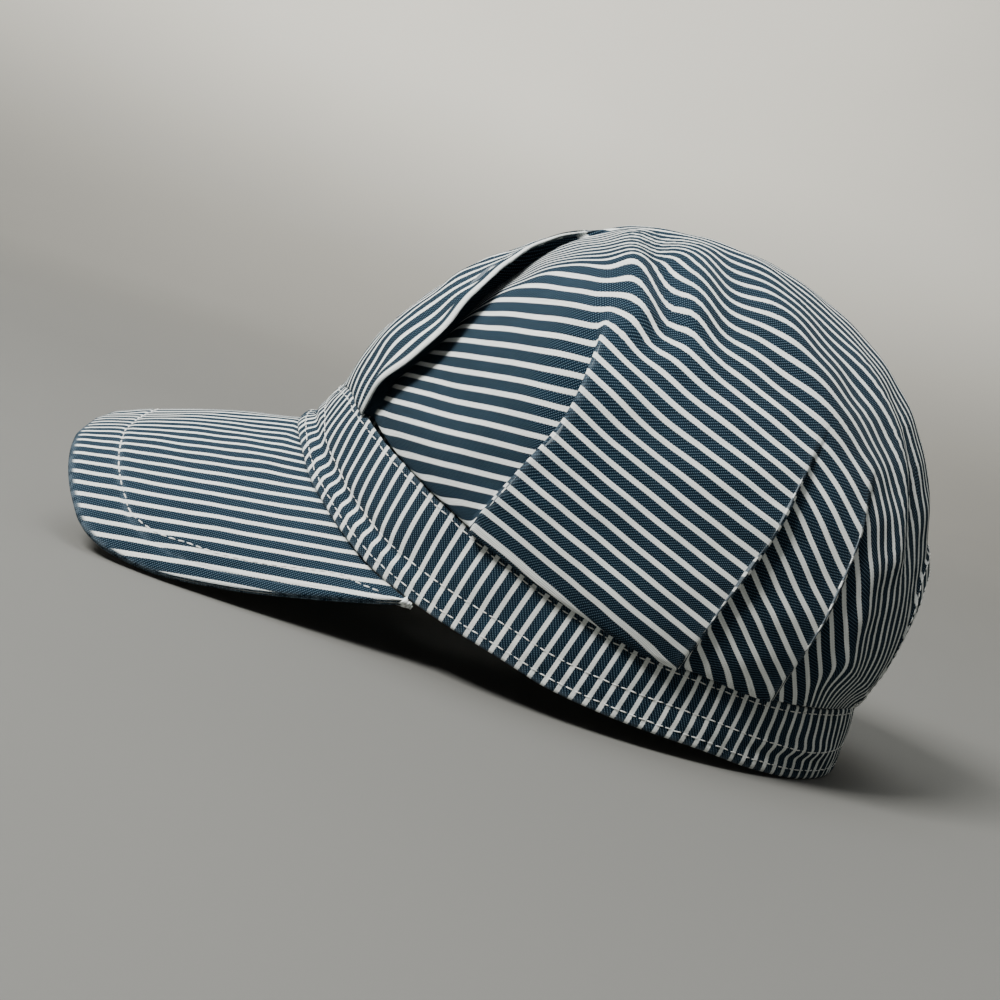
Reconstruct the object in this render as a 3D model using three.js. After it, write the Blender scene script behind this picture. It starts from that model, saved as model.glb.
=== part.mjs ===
import * as THREE from 'three';

// A railroad engineer cap of striped denim, in mm, +Z up, brim towards -Y, the wearer's left side +X.
// It lies on a table: on the two low sides of its arched brim and on the flat back of its band.

// Head opening, outside of the band.
const head_length = 199;
const head_width = 162;
const front_squareness = 2.0;
const back_squareness = 2.15;

// Band.
const band_wall = 2.2;
const band_width = 22;
const seam_rise = 52.7;
const band_lean = 9;
const hem_flare = 1.8;
const hem_crease = 0.8;

// Crown.
const crown_wall = 1.8;
const crown_rise = 148.5;
const crown_peak_back = 8;
const arch_width = 72;
const arch_rise = 47;
const arch_squareness = 2.3;
const pocket_depth = 9;
const pleat_height = 3;

// Brim.
const brim_layer = 1.5;
const brim_reach = 62.9;
const brim_width = 149;
const brim_end_rise = 33.5;
const brim_swell = 1.6;

// Clearance between neighbouring pieces.
const seam_gap = 0.3;

// Band edge, one row per azimuth from the front: height of the lower edge as a share of seam_rise,
// height of the strip as a share of band_width, lean of the upper edge as a share of band_lean.
const BAND_ROWS = [
  { azimuth: 0, low: 1, tall: 0.69, lean: 1 },
  { azimuth: 10, low: 0.973, tall: 0.745, lean: 0.97 },
  { azimuth: 20, low: 0.901, tall: 0.92, lean: 0.89 },
  { azimuth: 26, low: 0.827, tall: 1.07, lean: 0.78 },
  { azimuth: 31, low: 0.75, tall: 1.16, lean: 0.69 },
  { azimuth: 38, low: 0.664, tall: 1.26, lean: 0.55 },
  { azimuth: 48, low: 0.529, tall: 1.35, lean: 0.35 },
  { azimuth: 57, low: 0.419, tall: 1.395, lean: 0.2 },
  { azimuth: 64, low: 0.357, tall: 1.36, lean: 0.11 },
  { azimuth: 71, low: 0.306, tall: 1.28, lean: 0.05 },
  { azimuth: 83, low: 0.226, tall: 1.16, lean: 0 },
  { azimuth: 93, low: 0.15, tall: 1.09, lean: 0 },
  { azimuth: 104, low: 0.108, tall: 0.98, lean: 0 },
  { azimuth: 119, low: 0.074, tall: 0.945, lean: 0 },
  { azimuth: 132, low: 0.028, tall: 0.985, lean: 0 },
  { azimuth: 148, low: 0, tall: 1.05, lean: 0 },
  { azimuth: 180, low: 0, tall: 1.045, lean: 0 },
];

// Rows up the band: share of its height, flare and crease as shares of hem_flare and hem_crease.
const BAND_STEPS = [
  { height: 0, flare: 1, crease: 0 },
  { height: 0.16, flare: 0.75, crease: 0 },
  { height: 0.27, flare: 0, crease: 1 },
  { height: 0.42, flare: 0, crease: 0 },
  { height: 1, flare: 0, crease: 0 },
];

// Crown profile, one row per azimuth: roundness of the line from band to peak, swell as a share of
// the distance to the peak.
const CROWN_ROWS = [
  { azimuth: 0, roundness: 1.77, swell: -0.05 },
  { azimuth: 40, roundness: 1.9, swell: 0.02 },
  { azimuth: 90, roundness: 2.15, swell: 0.1 },
  { azimuth: 140, roundness: 2.3, swell: 0.12 },
  { azimuth: 180, roundness: 2.5, swell: 0.14 },
];

// Folds of the crown, one row each: azimuth of its edge at the band, a third of the way up and at its
// end, how far up it ends, where it is deepest, its share of full height at the band, lift of the cloth
// on top and sink of the cloth below as shares of pleat_height and pocket_depth, how far each
// spreads in degrees, and the side that lies on top (-1 the front one, 1 the rear one).
const FOLD_ROWS = [
  { foot: 40, third: 50, top: 24, end: 0.76, deepest: 0.34, start: 0.06,
    lift: 0.45, sink: 1.0, lift_spread: 16, sink_spread: 24, side: -1 },
  { foot: 72, third: 81, top: 60, end: 0.78, deepest: 0.16, start: 0.4,
    lift: 1.0, sink: 0.12, lift_spread: 18, sink_spread: 9, side: 1 },
  { foot: 111, third: 120, top: 133, end: 0.5, deepest: 0.14, start: 0.4,
    lift: 1.0, sink: 0.1, lift_spread: 18, sink_spread: 8, side: -1 },
  { foot: 129, third: 138, top: 149, end: 0.52, deepest: 0.12, start: 0.4,
    lift: 0.8, sink: 0.1, lift_spread: 11, sink_spread: 8, side: -1 },
];
const fold_edge_turn = 2.6;

// Brim edge, one row per azimuth of the seam: x as a share of half the brim_width, reach forward of the
// band's front as a share of brim_reach, height as a share of brim_end_rise.
const BRIM_ROWS = [
  { azimuth: 0, across: 0, reach: 0.979, height: 1 },
  { azimuth: 8, across: 0.188, reach: 0.997, height: 0.949 },
  { azimuth: 16, across: 0.356, reach: 1, height: 0.851 },
  { azimuth: 22, across: 0.464, reach: 0.978, height: 0.764 },
  { azimuth: 28, across: 0.58, reach: 0.935, height: 0.639 },
  { azimuth: 33, across: 0.671, reach: 0.879, height: 0.504 },
  { azimuth: 39, across: 0.765, reach: 0.797, height: 0.349 },
  { azimuth: 44, across: 0.838, reach: 0.71, height: 0.215 },
  { azimuth: 49, across: 0.894, reach: 0.561, height: 0.11 },
  { azimuth: 54, across: 0.934, reach: 0.305, height: 0.06 },
  { azimuth: 58, across: 0.958, reach: -0.024, height: 0.134 },
  { azimuth: 61, across: 0.973, reach: -0.326, height: 0.257 },
  { azimuth: 63.5, across: 0.981, reach: -0.628, height: 0.4 },
  { azimuth: 65, across: 0.985, reach: -0.845, height: 0.516 },
];

const half_length = head_length / 2;
const half_width = head_width / 2;
const rad = (degrees) => (degrees * Math.PI) / 180;
const power = (value, exponent) => Math.sign(value) * Math.abs(value) ** exponent;

// Reads one column of a table at a key between its rows, along a curve that never overshoots.
function column(rows, key, name) {
  const xs = rows.map((row) => row[key]);
  const ys = rows.map((row) => row[name]);
  const last = xs.length - 1;
  const slope = [];
  for (let i = 0; i < last; i += 1) slope.push((ys[i + 1] - ys[i]) / (xs[i + 1] - xs[i]));
  const tangent = [slope[0]];
  for (let i = 1; i < last; i += 1) {
    const a = slope[i - 1];
    const b = slope[i];
    tangent.push(a * b <= 0 ? 0 : (2 * a * b) / (a + b));
  }
  tangent.push(slope[last - 1]);
  return (at) => {
    const x = Math.min(Math.max(at, xs[0]), xs[last]);
    let i = 0;
    while (i < last - 1 && x > xs[i + 1]) i += 1;
    const span = xs[i + 1] - xs[i];
    const s = (x - xs[i]) / span;
    const rise = s * s * (3 - 2 * s);
    const lead = s * (1 - s) * (1 - s) * tangent[i] * span;
    const trail = s * s * (s - 1) * tangent[i + 1] * span;
    return ys[i] * (1 - rise) + ys[i + 1] * rise + lead + trail;
  };
}

const low_share = column(BAND_ROWS, 'azimuth', 'low');
const tall_share = column(BAND_ROWS, 'azimuth', 'tall');
const lean_share = column(BAND_ROWS, 'azimuth', 'lean');
const band_low = (azimuth) => seam_rise * low_share(Math.abs(azimuth));
const band_high = (azimuth) => band_low(azimuth) + band_width * tall_share(Math.abs(azimuth));
const band_lean_at = (azimuth) => band_lean * lean_share(Math.abs(azimuth));

// A point of the head opening's outline, moved out by an offset.
function ring(azimuth, offset) {
  const s = Math.sin(rad(azimuth));
  const c = Math.cos(rad(azimuth));
  const squareness = c > 0 ? front_squareness : back_squareness;
  const x = half_width * power(s, 2 / squareness);
  const y = -half_length * power(c, 2 / squareness);
  const nx = power(x / half_width, squareness - 1) / half_width;
  const ny = power(y / half_length, squareness - 1) / half_length;
  const size = Math.hypot(nx, ny);
  return [x + (offset * nx) / size, y + (offset * ny) / size];
}

// The azimuth at which the outline, moved out by an offset, reaches a distance x near the back.
function rear_azimuth(x, offset) {
  let near = 95;
  let far = 180;
  for (let i = 0; i < 40; i += 1) {
    const middle = (near + far) / 2;
    if (ring(middle, offset)[0] > x) near = middle;
    else far = middle;
  }
  return (near + far) / 2;
}

const arch_azimuth = rear_azimuth(arch_width / 2, 0);

// Adds a four-sided face as two triangles, split along its shorter diagonal.
function add_quad(triangles, points, a, b, c, d) {
  const span = (p, q) =>
    Math.hypot(points[p][0] - points[q][0], points[p][1] - points[q][1], points[p][2] - points[q][2]);
  if (span(a, c) <= span(b, d)) triangles.push([a, b, c], [a, c, d]);
  else triangles.push([a, b, d], [b, c, d]);
}

// Closed body from two equal grids of points, the outer and the inner skin of a sheet.
// A grid is a list of columns; around says that the last column meets the first one. A peak, if there
// is one, is a point of each skin that closes the upper ends of the columns.
function sheet_body(outer, inner, around, peak) {
  const columns = outer.length;
  const rows = outer[0].length;
  const points = [...outer.flat(), ...inner.flat()];
  const half = columns * rows;
  const top = rows - 1;
  const end = columns - 1;
  const triangles = [];
  const quad = (a, b, c, d) => add_quad(triangles, points, a, b, c, d);
  const at = (i, j) => (i % columns) * rows + j;
  const spans = around ? columns : end;
  for (let i = 0; i < spans; i += 1) {
    for (let j = 0; j < top; j += 1) {
      quad(at(i, j), at(i + 1, j), at(i + 1, j + 1), at(i, j + 1));
      quad(half + at(i, j), half + at(i, j + 1), half + at(i + 1, j + 1), half + at(i + 1, j));
    }
    quad(at(i, 0), half + at(i, 0), half + at(i + 1, 0), at(i + 1, 0));
    if (peak) {
      triangles.push([at(i, top), at(i + 1, top), 2 * half]);
      triangles.push([half + at(i, top), 2 * half + 1, half + at(i + 1, top)]);
    } else quad(at(i, top), at(i + 1, top), half + at(i + 1, top), half + at(i, top));
  }
  if (!around) {
    for (let j = 0; j < top; j += 1) {
      quad(at(0, j), at(0, j + 1), half + at(0, j + 1), half + at(0, j));
      quad(at(end, j), half + at(end, j), half + at(end, j + 1), at(end, j + 1));
    }
  }
  if (peak) points.push(...peak);
  return body_geometry(points, triangles);
}

// Indexed points and triangles as a geometry with flat faces, turned to face out.
function body_geometry(points, triangles) {
  let volume = 0;
  for (const [a, b, c] of triangles) {
    const [p, q, r] = [points[a], points[b], points[c]];
    volume += p[0] * (q[1] * r[2] - q[2] * r[1]);
    volume += p[1] * (q[2] * r[0] - q[0] * r[2]);
    volume += p[2] * (q[0] * r[1] - q[1] * r[0]);
  }
  const geometry = new THREE.BufferGeometry();
  const corners = [];
  for (const [a, b, c] of triangles) {
    const order = volume > 0 ? [a, b, c] : [a, c, b];
    for (const index of order) corners.push(...points[index]);
  }
  geometry.setAttribute('position', new THREE.Float32BufferAttribute(corners, 3));
  geometry.computeVertexNormals();
  return geometry;
}

const subtract = (p, q) => [p[0] - q[0], p[1] - q[1], p[2] - q[2]];
const unit = (v) => {
  const size = Math.hypot(v[0], v[1], v[2]) || 1;
  return [v[0] / size, v[1] / size, v[2] / size];
};
const cross = (p, q) => [
  p[1] * q[2] - p[2] * q[1],
  p[2] * q[0] - p[0] * q[2],
  p[0] * q[1] - p[1] * q[0],
];
const move = (p, direction, distance) => [
  p[0] + direction[0] * distance,
  p[1] + direction[1] * distance,
  p[2] + direction[2] * distance,
];

// Normals of a grid of points, by the differences between neighbours.
function grid_normals(grid, around) {
  const columns = grid.length;
  const rows = grid[0].length;
  return grid.map((line, i) =>
    line.map((point, j) => {
      const before = around ? (i + columns - 1) % columns : Math.max(i - 1, 0);
      const after = around ? (i + 1) % columns : Math.min(i + 1, columns - 1);
      const along = unit(subtract(grid[after][j], grid[before][j]));
      const up = unit(subtract(line[Math.min(j + 1, rows - 1)], line[Math.max(j - 1, 0)]));
      return unit(cross(along, up));
    }),
  );
}

// Band: an upright strip around the head, its lower hem rolled out over the brim.
function band_geometry() {
  const weight_rows = [
    { azimuth: 0, weight: 1 },
    { azimuth: 50, weight: 1 },
    { azimuth: 66, weight: 0.15 },
    { azimuth: 90, weight: 0 },
  ];
  const hem_weight = column(weight_rows, 'azimuth', 'weight');
  const steps = 96;
  const outer = [];
  const inner = [];
  for (let i = 0; i < steps; i += 1) {
    const azimuth = 360 * (i / steps) - 180;
    const low = band_low(azimuth);
    const high = band_high(azimuth);
    const weight = hem_weight(Math.abs(azimuth));
    const face = (inset) =>
      BAND_STEPS.map((step) => {
        const bend = weight * (hem_flare * step.flare - hem_crease * step.crease);
        const lean = -band_lean_at(azimuth) * step.height;
        const [x, y] = ring(azimuth, bend + lean - inset);
        return [x, y, low + (high - low) * step.height];
      });
    outer.push(face(0));
    inner.push(face(band_wall));
  }
  return sheet_body(outer, inner, true);
}

const roundness_at = column(CROWN_ROWS, 'azimuth', 'roundness');
const swell_at = column(CROWN_ROWS, 'azimuth', 'swell');

// The crown's smooth outer skin: azimuth in degrees, climb from 0 at the band to 1 at the peak.
function crown_skin(azimuth, climb) {
  const turn = Math.min(Math.abs(azimuth), 360 - Math.abs(azimuth));
  const shape = 2 / roundness_at(turn);
  const angle = (climb * Math.PI) / 2;
  const near = Math.max(Math.cos(angle), 0) ** shape;
  const up = Math.sin(angle) ** shape;
  const swell = 1 + swell_at(turn) * 2.6 * up ** 0.6 * (1 - up);
  const [x, y] = ring(azimuth, -band_lean_at(turn));
  const base = band_high(turn) + seam_gap;
  return [
    x * near * swell,
    crown_peak_back + (y - crown_peak_back) * near * swell,
    base + (crown_rise - base) * up,
  ];
}

// The azimuth of a fold's edge at a climb.
function fold_azimuth(fold, climb) {
  const path = column(
    [{ climb: 0, at: fold.foot }, { climb: 0.3, at: fold.third }, { climb: Math.max(fold.end, 0.5), at: fold.top }],
    'climb',
    'at',
  );
  return path(climb);
}

// How much of a fold's full depth is left at a climb.
function fold_strength(fold, climb) {
  if (climb >= fold.end) return 0;
  if (climb <= fold.deepest) {
    const s = climb / fold.deepest;
    return fold.start + (1 - fold.start) * s * s * (3 - 2 * s);
  }
  const s = (climb - fold.deepest) / (fold.end - fold.deepest);
  return 1 - s * s * (3 - 2 * s);
}

// The folds' shift of the skin along its normal.
function fold_shift(azimuth, climb) {
  const turn = Math.abs(azimuth);
  let shift = 0;
  for (const fold of FOLD_ROWS) {
    const strength = fold_strength(fold, climb);
    if (strength <= 0) continue;
    const s = (turn - fold_azimuth(fold, climb)) * fold.side;
    const lift = pleat_height * fold.lift;
    const sink = pocket_depth * fold.sink;
    if (s >= 0) shift += strength * lift * Math.max(0, 1 - s / fold.lift_spread) ** 2;
    else if (s > -fold_edge_turn) shift += strength * (lift + ((lift + sink) * s) / fold_edge_turn);
    else {
      const rest = -s - fold_edge_turn;
      shift -= strength * sink * Math.max(0, 1 - rest / fold.sink_spread) ** 1.6;
    }
  }
  return shift;
}

// Azimuths of the crown's half set of columns at a climb: each fold's edge has its own columns,
// and the spans between them are split evenly.
function column_azimuths(climb) {
  const marks = [0];
  const splits = [];
  const counts = [6, 6, 6, 3];
  FOLD_ROWS.forEach((fold, index) => {
    const edge = fold_azimuth(fold, climb);
    const turn = fold_edge_turn;
    const near = fold.side > 0 ? edge - turn : edge;
    const far = fold.side > 0 ? edge : edge + turn;
    splits.push(counts[index]);
    marks.push(near);
    splits.push(1);
    marks.push(far);
  });
  const out = [];
  marks.forEach((mark, index) => {
    if (index === 0) return;
    const from = marks[index - 1];
    for (let k = 0; k < splits[index - 1]; k += 1) {
      out.push(from + ((mark - from) * k) / splits[index - 1]);
    }
  });
  const last = marks[marks.length - 1];
  const gate = Math.max(arch_azimuth, last + 6);
  const rear = [
    last,
    last + (gate - last) * 0.35,
    last + (gate - last) * 0.7,
    gate,
    gate + 0.9,
    gate + 2.7,
    gate + 6,
    gate + 11,
    gate + 17,
    180,
  ];
  return out.concat(rear.map((azimuth) => Math.min(azimuth, 180)));
}

// Lowest climb of a column: the band, or the edge of the rear arch.
function first_climb(index) {
  const inside = (climb) => {
    const azimuth = column_azimuths(climb)[index];
    const [x, , z] = crown_skin(azimuth, climb);
    if (azimuth < 100) return false;
    const share = Math.abs(x) / (arch_width / 2);
    if (share >= 1) return false;
    const edge = band_high(180) + arch_rise * (1 - share ** arch_squareness) ** (1 / arch_squareness);
    return z < edge;
  };
  if (!inside(0)) return 0;
  let within = 0;
  let outside = 0.6;
  for (let i = 0; i < 40; i += 1) {
    const middle = (within + outside) / 2;
    if (inside(middle)) within = middle;
    else outside = middle;
  }
  return outside;
}

// Crown: one pleated piece of cloth from the band to the peak, with the arch cut out at its back.
function crown_geometry() {
  const half_columns = column_azimuths(0).length;
  const order = [];
  for (let i = 0; i < half_columns; i += 1) order.push({ index: i, side: 1 });
  for (let i = half_columns - 2; i > 0; i -= 1) order.push({ index: i, side: -1 });
  const starts = [];
  for (let i = 0; i < half_columns; i += 1) starts.push(first_climb(i));
  const rows = 20;
  const smooth = order.map(({ index, side }) => {
    const line = [];
    for (let j = 0; j < rows; j += 1) {
      const share = 0.5 * (j / rows) + 0.5 * (j / rows) ** 1.35;
      const climb = starts[index] + (0.985 - starts[index]) * share;
      const azimuth = column_azimuths(climb)[index];
      const [x, y, z] = crown_skin(azimuth, climb);
      line.push({ point: [x * side, y, z], shift: fold_shift(azimuth, climb) });
    }
    return line;
  });
  const flat = smooth.map((line) => line.map((entry) => entry.point));
  const facing = grid_normals(flat, true);
  const level = (normal) => unit([normal[0], normal[1], 0]);
  const outer = smooth.map((line, i) =>
    line.map((entry, j) => move(entry.point, j === 0 ? level(facing[i][j]) : facing[i][j], entry.shift)),
  );
  const bent = grid_normals(outer, true);
  const inner = outer.map((line, i) =>
    line.map((point, j) => move(point, j === 0 ? level(bent[i][j]) : bent[i][j], -crown_wall)),
  );
  const peak = [[0, crown_peak_back, crown_rise], [0, crown_peak_back, crown_rise - crown_wall]];
  return sheet_body(outer, inner, true, peak);
}

const edge_across = column(BRIM_ROWS, 'azimuth', 'across');
const edge_reach = column(BRIM_ROWS, 'azimuth', 'reach');
const edge_height = column(BRIM_ROWS, 'azimuth', 'height');
const brim_end_azimuth = BRIM_ROWS[BRIM_ROWS.length - 1].azimuth;

// The brim's top skin: azimuth of the seam, and share of the way from the seam to the edge.
function brim_skin(azimuth, share) {
  const turn = Math.abs(azimuth);
  const side = Math.sign(azimuth) || 1;
  const [sx, sy] = ring(turn, 0);
  const sz = band_low(turn) - seam_gap - 0.1;
  const ex = (brim_width / 2) * edge_across(turn);
  const ey = -half_length - brim_reach * edge_reach(turn);
  const ez = brim_end_rise * edge_height(turn);
  const swell = brim_swell * 4 * share * (1 - share) * Math.cos(rad(turn));
  return [side * (sx + (ex - sx) * share), sy + (ey - sy) * share, sz + (ez - sz) * share + swell];
}

// The direction up from the brim, the same along each line from its seam to its edge.
function brim_up(azimuth) {
  const limit = brim_end_azimuth - 8;
  const turn = Math.min(Math.max(azimuth, -limit), limit);
  const across = subtract(brim_skin(turn + 1, 0.6), brim_skin(turn - 1, 0.6));
  const forward = subtract(brim_skin(turn, 0.7), brim_skin(turn, 0.5));
  const normal = unit(cross(forward, across));
  return normal[2] < 0 ? normal.map((v) => -v) : normal;
}

// One layer of the brim: depths of its upper and lower skin under the brim's top skin.
function brim_geometry(upper, lower) {
  const steps = 40;
  const shares = [0, 0.2, 0.4, 0.6, 0.8, 1];
  const grid = [];
  for (let i = 0; i <= steps; i += 1) {
    const azimuth = brim_end_azimuth * ((2 * i) / steps - 1);
    const [rx, ry] = ring(azimuth, -band_wall);
    const root = [rx, ry, band_low(azimuth) - seam_gap - 0.1];
    grid.push([root, ...shares.map((share) => brim_skin(azimuth, share))]);
  }
  const skin = (depth) =>
    grid.map((line, i) => line.map((point) => move(point, brim_up(brim_end_azimuth * ((2 * i) / steps - 1)), -depth)));
  return sheet_body(skin(upper), skin(lower), false);
}

// A named piece with its own colour.
function piece(name, geometry, colour) {
  const material = new THREE.MeshStandardMaterial({ color: colour, roughness: 0.95, metalness: 0 });
  material.name = `${name}_cloth`;
  const mesh = new THREE.Mesh(geometry, material);
  mesh.name = name;
  return mesh;
}

const cap = new THREE.Group();
cap.name = 'railroad_engineer_cap';
cap.add(
  piece('crown', crown_geometry(), 0x5d7186),
  piece('band', band_geometry(), 0x6a7c8f),
  piece('brim_top', brim_geometry(0, brim_layer), 0x7a8a9a),
  piece('brim_underside', brim_geometry(brim_layer + seam_gap, 2 * brim_layer + seam_gap), 0x8b98a5),
);

// The part's origin is at the middle of its box, on the table.
const box = new THREE.Box3().setFromObject(cap);
for (const mesh of cap.children) {
  mesh.geometry.translate(-(box.min.x + box.max.x) / 2, -(box.min.y + box.max.y) / 2, -box.min.z);
}

export default cap;
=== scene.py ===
"""Looks of a railroad engineer cap: hickory-striped denim, pleated crown, band and brim.

Lengths are in millimetres until a mesh is made. The outline's middle is at x = 0, y = 0 while the
shapes are worked out, with the brim towards -y, and each mesh is then moved into the part's frame.
"""

import functools
import math

import bpy
import numpy as np
from mathutils import Matrix, Vector


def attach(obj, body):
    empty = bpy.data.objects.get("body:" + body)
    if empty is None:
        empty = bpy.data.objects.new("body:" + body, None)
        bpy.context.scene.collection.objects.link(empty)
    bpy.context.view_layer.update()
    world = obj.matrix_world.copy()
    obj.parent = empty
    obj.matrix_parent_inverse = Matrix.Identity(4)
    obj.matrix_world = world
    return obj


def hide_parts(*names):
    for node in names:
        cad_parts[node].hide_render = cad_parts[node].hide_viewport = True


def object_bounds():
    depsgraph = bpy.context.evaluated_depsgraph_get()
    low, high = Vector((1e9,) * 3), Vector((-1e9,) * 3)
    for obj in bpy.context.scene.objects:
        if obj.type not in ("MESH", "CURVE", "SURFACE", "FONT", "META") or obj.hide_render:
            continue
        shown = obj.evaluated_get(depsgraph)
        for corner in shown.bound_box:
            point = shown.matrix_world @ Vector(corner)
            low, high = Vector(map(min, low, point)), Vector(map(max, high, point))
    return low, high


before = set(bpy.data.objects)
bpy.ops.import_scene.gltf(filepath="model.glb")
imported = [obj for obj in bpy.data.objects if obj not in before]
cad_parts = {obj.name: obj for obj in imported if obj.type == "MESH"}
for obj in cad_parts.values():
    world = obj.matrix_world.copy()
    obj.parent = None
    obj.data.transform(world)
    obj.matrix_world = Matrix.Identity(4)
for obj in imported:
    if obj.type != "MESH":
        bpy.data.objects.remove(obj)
SIZE_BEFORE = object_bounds()

# Named sizes, as in the part.

HEAD_LENGTH = 199.0
HEAD_WIDTH = 162.0
FRONT_SQUARENESS = 2.0
BACK_SQUARENESS = 2.15
BAND_WALL = 2.0
BAND_WIDTH = 22.0
SEAM_RISE = 52.7
BAND_LEAN = 9.0
HEM_FLARE = 1.8
HEM_CREASE = 0.8
CROWN_WALL = 1.3
CROWN_RISE = 148.5
PEAK_BACK = 8.0
ARCH_WIDTH = 72.0
ARCH_RISE = 47.0
ARCH_SQUARENESS = 2.3
POCKET_DEPTH = 9.0
PLEAT_HEIGHT = 3.0
BRIM_LAYER = 1.45
BRIM_REACH = 62.9
BRIM_WIDTH = 149.0
BRIM_END_RISE = 33.5
BRIM_SWELL = 1.6
SEAM_GAP = 0.3

# Stripe repeat of the cloth, and as the band shows it. Radius of the section that the crown's stripes follow.
STRIPE = 5.3
BAND_STRIPE = 4.3
CREST_RADIUS = 75.0
HALF_LENGTH = HEAD_LENGTH / 2
HALF_WIDTH = HEAD_WIDTH / 2
# Distance from this script's middle to the part's frame, along y.
SHIFT = SIZE_BEFORE[0][1] * 1000 + HALF_LENGTH + BRIM_REACH


def table(names, *rows):
    """A short table as one array per named column."""
    return {name: np.array([row[i] for row in rows], float) for i, name in enumerate(names.split())}


def records(names, *rows):
    """A short table as one dict per row."""
    return [dict(zip(names.split(), row)) for row in rows]


BAND_ROWS = table(
    "azimuth low tall lean",
    (0, 1, 0.69, 1),
    (10, 0.973, 0.745, 0.97),
    (20, 0.901, 0.92, 0.89),
    (26, 0.827, 1.07, 0.78),
    (31, 0.75, 1.16, 0.69),
    (38, 0.664, 1.26, 0.55),
    (48, 0.529, 1.35, 0.35),
    (57, 0.419, 1.395, 0.2),
    (64, 0.357, 1.36, 0.11),
    (71, 0.306, 1.28, 0.05),
    (83, 0.226, 1.16, 0),
    (93, 0.15, 1.09, 0),
    (104, 0.108, 0.98, 0),
    (119, 0.074, 0.945, 0),
    (132, 0.028, 0.985, 0),
    (148, 0, 1.05, 0),
    (180, 0, 1.045, 0),
)
HEM_ROWS = table("azimuth weight", (0, 1), (50, 1), (66, 0.15), (90, 0))
HEM_STEPS = table("height flare crease", (0, 1, 0), (0.16, 0.75, 0), (0.27, 0, 1), (0.42, 0, 0), (1, 0, 0))
CROWN_ROWS = table(
    "azimuth roundness swell roll",
    (0, 1.77, -0.05, 0.4),
    (40, 1.9, 0.02, 0.6),
    (66, 2.02, 0.06, 1.0),
    (90, 2.15, 0.1, 1.9),
    (126, 2.25, 0.11, 1.9),
    (140, 2.3, 0.12, 1.0),
    (180, 2.5, 0.14, 0.4),
)
# Folds from the front, one row each.
# foot, third, top: azimuth of its edge at the band, a third of the way up and at its end.
# end: climb where it ends. deepest, hold: climbs between which it is at full depth; start: that at the band.
# lift, sink: how far the upper sheet stands out and the lower one lies in, fading over the spread in degrees.
# tuck: how far the lower sheet goes under, in mm. side: the sheet on top, -1 the front one, 1 the rear one.
FOLDS = records(
    "foot third top end deepest hold start lift sink lift_spread sink_spread tuck side",
    (36.5, 48, 26, 0.80, 0.14, 0.42, 0.45, 0.9, 0.72, 13, 24, 13.0, -1),
    (72, 81, 77, 0.54, 0.16, 0.30, 0.5, 0.95, 0.2, 20, 9, 4.0, 1),
    (108.5, 120.5, 130, 0.46, 0.14, 0.22, 0.5, 0.8, 0.2, 22, 8, 3.6, -1),
    (128, 137.5, 145, 0.42, 0.12, 0.18, 0.5, 0.55, 0.16, 14, 8, 3.0, -1),
)
# Degrees of azimuth over which the cloth turns through a fold.
FOLD_TURN = 2.6
# Least distance from the crown's axis for turning a fold's tuck into degrees.
LEAST_RADIUS = 45.0
# Path of the cloth through a fold, from its edge to the sheet below: share of the turn, share of the
# tuck and share of the drop.
FOLD_PATH = table(
    "turn tuck drop",
    (0, 0, 0),
    (0.12, -0.06, 0.05),
    (0.28, 0.1, 0.2),
    (0.62, 0.85, 0.4),
    (0.82, 1, 0.68),
    (1, 0.95, 1),
)
# Soft ridges and valleys of the crown: three azimuth and climb pairs along each, width and height in mm.
RIDGES = records(
    "a0 c0 a1 c1 a2 c2 width height",
    (50, 0.80, 79, 0.585, 81, 0.44, 6.0, 2.4),
    (62, 0.80, 86, 0.61, 89, 0.44, 5.5, -2.6),
    (84, 0.84, 94, 0.66, 93, 0.46, 6.5, 1.5),
    (104, 0.82, 105, 0.63, 101, 0.44, 7.0, -1.4),
    (84, 0.24, 92, 0.30, 100, 0.34, 9.0, -0.8),
    (118, 0.70, 126, 0.55, 133, 0.42, 7.0, 1.6),
    (138, 0.74, 143, 0.60, 141, 0.46, 6.5, -1.5),
    (152, 0.60, 153, 0.36, 147, 0.20, 4.5, 1.6),
    (161, 0.50, 159, 0.33, 152, 0.18, 4.0, -1.4),
    (146, 0.26, 147, 0.14, 150, 0.02, 4.2, -1.0),
    (140, 0.26, 141, 0.14, 143, 0.02, 4.2, 0.7),
    (8, 0.10, 14, 0.40, 10, 0.72, 9.0, -0.7),
    (26, 0.06, 33, 0.30, 24, 0.60, 6.0, 0.8),
)
BRIM_ROWS = table(
    "azimuth across reach height",
    (0, 0, 0.979, 1),
    (8, 0.188, 0.997, 0.949),
    (16, 0.356, 1, 0.851),
    (22, 0.464, 0.978, 0.764),
    (28, 0.58, 0.935, 0.639),
    (33, 0.671, 0.879, 0.504),
    (39, 0.765, 0.797, 0.349),
    (44, 0.838, 0.71, 0.215),
    (49, 0.894, 0.561, 0.11),
    (54, 0.934, 0.305, 0.06),
    (58, 0.958, -0.024, 0.134),
    (61, 0.973, -0.326, 0.257),
    (63.5, 0.981, -0.628, 0.4),
    (65, 0.985, -0.845, 0.516),
)
# Azimuth at which the brim ends on each side.
BRIM_END = 65.0
# The brim's stripes seen from the side: square root of how far they lie under the middle one, in mm.
BRIM_SECTION = table(
    "root stripe",
    (0, 0),
    (1.73, 5.7),
    (2.49, 8.5),
    (3.38, 11.5),
    (4.32, 14.5),
    (5.25, 17.5),
    (6.12, 20.5),
    (6.74, 22.5),
    (7.5, 25),
)
BRIM_SECTION_Y = -130.0
BRIM_STRIPE_RISE = 9.4
# The sheets behind the front one: slope of their stripes, rising to the rear, and how much closer they look.
SHEET_SLOPES = ((7.0, 1.0), (-20.5, 1.0), (-48.0, 1.02), (-70.0, 1.2))
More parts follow.
